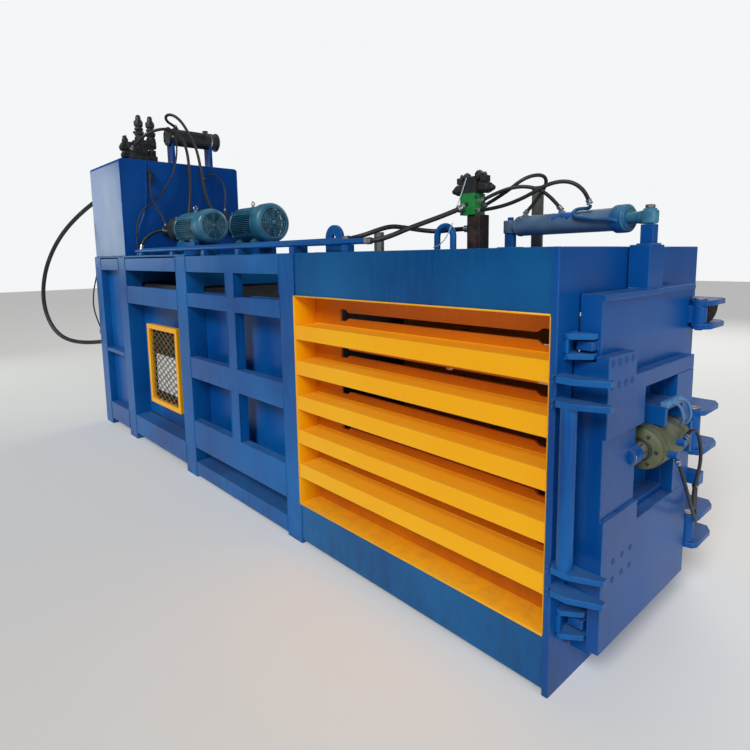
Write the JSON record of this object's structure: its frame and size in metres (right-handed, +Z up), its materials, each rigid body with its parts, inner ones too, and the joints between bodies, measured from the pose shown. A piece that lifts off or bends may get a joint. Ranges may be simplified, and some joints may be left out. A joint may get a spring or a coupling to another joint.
{
  "type": "recycling baler",
  "caption": "Horizontal closed-end baler with a box frame, slotted strapping chamber, hollow ram, side-hung door with a hydraulic lock, and an oil tank with motor and pump sets on top.",
  "frame": {"origin": "On the floor, on the underside of the middle cross sill, halfway along the frame and halfway across it.", "axes": "+X towards the swing door, +Y to the far side (the door's hinge side), +Z up."},
  "size_m": [5.7168, 1.5252, 2.7783],
  "materials": {
    "blue_enamel": "gloss enamel over mill plate",
    "hinge_paint": "gloss enamel, brushed on",
    "yellow_enamel": "gloss enamel, orange in the shade",
    "channel_plate": "worn floor plate",
    "knife_steel": "ground blade",
    "ram_steel": "worn paint",
    "rod_chrome": "hard chrome",
    "motor_green": "semi-gloss motor paint",
    "dark_iron": "dark paint",
    "valve_green": "gloss paint",
    "raw_steel": "bare and zinc-plated",
    "primer_olive": "olive primer",
    "hose_rubber": "matte hydraulic hose"
  },
  "bodies": {
    "frame": {"base_sills": "blue_enamel", "beams": "blue_enamel", "chamber_walls": "yellow_enamel", "channel_floor": "channel_plate", "corner_brackets": "blue_enamel", "directional_valve": "dark_iron", "door_cyl_base": "blue_enamel", "door_hose_a": "hose_rubber", "door_hose_b": "hose_rubber", "door_hose_c": "hose_rubber", "edge_pipes": "blue_enamel", "end_portal": "blue_enamel", "fan_cowls": "motor_green", "guard_frame": "yellow_enamel", "guard_mesh": "yellow_enamel", "hinge_ears": "hinge_paint", "hose_a": "hose_rubber", "hose_b": "hose_rubber", "hose_d": "hose_rubber", "hose_e": "hose_rubber", "hose_f": "hose_rubber", "hose_fittings": "raw_steel", "keeper": "blue_enamel", "lifting_eye": "blue_enamel", "main_cylinder": "blue_enamel", "main_hose": "hose_rubber", "mid_hose_1": "hose_rubber", "mid_hose_2": "hose_rubber", "motor_housings": "motor_green", "oil_cooler": "dark_iron", "oil_tank": "blue_enamel", "posts": "blue_enamel", "pumps": "dark_iron", "rear_cable": "hose_rubber", "rear_deck": "blue_enamel", "rear_plate": "blue_enamel", "relief_valves": "dark_iron", "shear_knife": "knife_steel", "side_panels": "blue_enamel", "side_rails": "blue_enamel", "steel_stubs": "raw_steel", "strap_ribs": "yellow_enamel", "valve_block": "valve_green", "valve_post": "blue_enamel"},
    "rotor_1": {"motor_rotor_1": "raw_steel"},
    "rotor_2": {"motor_rotor_2": "raw_steel"},
    "ram": {"ram_body": "ram_steel", "ram_face": "ram_steel", "main_rod": "rod_chrome"},
    "door": {"door_leaf": "blue_enamel", "door_arm": "blue_enamel", "hinge_knuckles": "hinge_paint", "lock_cylinder": "primer_olive", "lock_saddles": "blue_enamel", "lock_hose_1": "hose_rubber", "lock_hose_2": "hose_rubber"},
    "lock": {"lock_frame": "blue_enamel", "lock_rod": "rod_chrome"},
    "door_cylinder": {"door_cyl_barrel": "blue_enamel"},
    "door_rod": {"door_cyl_rod": "rod_chrome"}
  },
  "joints": [
    {"name": "ram_slide", "type": "slide", "parent": "frame", "child": "ram", "axis": [1, 0, 0], "range_m": [0, 1.3]},
    {"name": "motor_1_spin", "type": "hinge", "parent": "frame", "child": "rotor_1", "pos_m": [-0.95, -0.251, 1.769], "axis": [1, 0, 0], "continuous": true},
    {"name": "motor_2_spin", "type": "hinge", "parent": "frame", "child": "rotor_2", "pos_m": [-0.95, 0.266, 1.808], "axis": [1, 0, 0], "continuous": true},
    {"name": "door_hinge", "type": "hinge", "parent": "frame", "child": "door", "pos_m": [2.475, 0.31, 0.78], "axis": [0, 0, 1], "range_deg": [0, 100]},
    {"name": "lock_slide", "type": "slide", "parent": "door", "child": "lock", "axis": [0, -1, 0], "range_m": [0, 0.05]},
    {"name": "door_cylinder_swivel", "type": "hinge", "parent": "frame", "child": "door_cylinder", "pos_m": [1.705, 0.095, 1.668], "axis": [0, 0, 1], "range_deg": [0, 23.5]},
    {"name": "door_rod_slide", "type": "slide", "parent": "door_cylinder", "child": "door_rod", "axis": [0.9752, -0.2213, 0], "range_m": [0, 0.4485]}
  ],
  "couplings": [
    {"joint": "door_cylinder_swivel", "follows": "door_hinge", "ratio": 0.2343},
    {"joint": "door_rod_slide", "follows": "door_hinge", "m_per_rad": 0.25657}
  ]
}
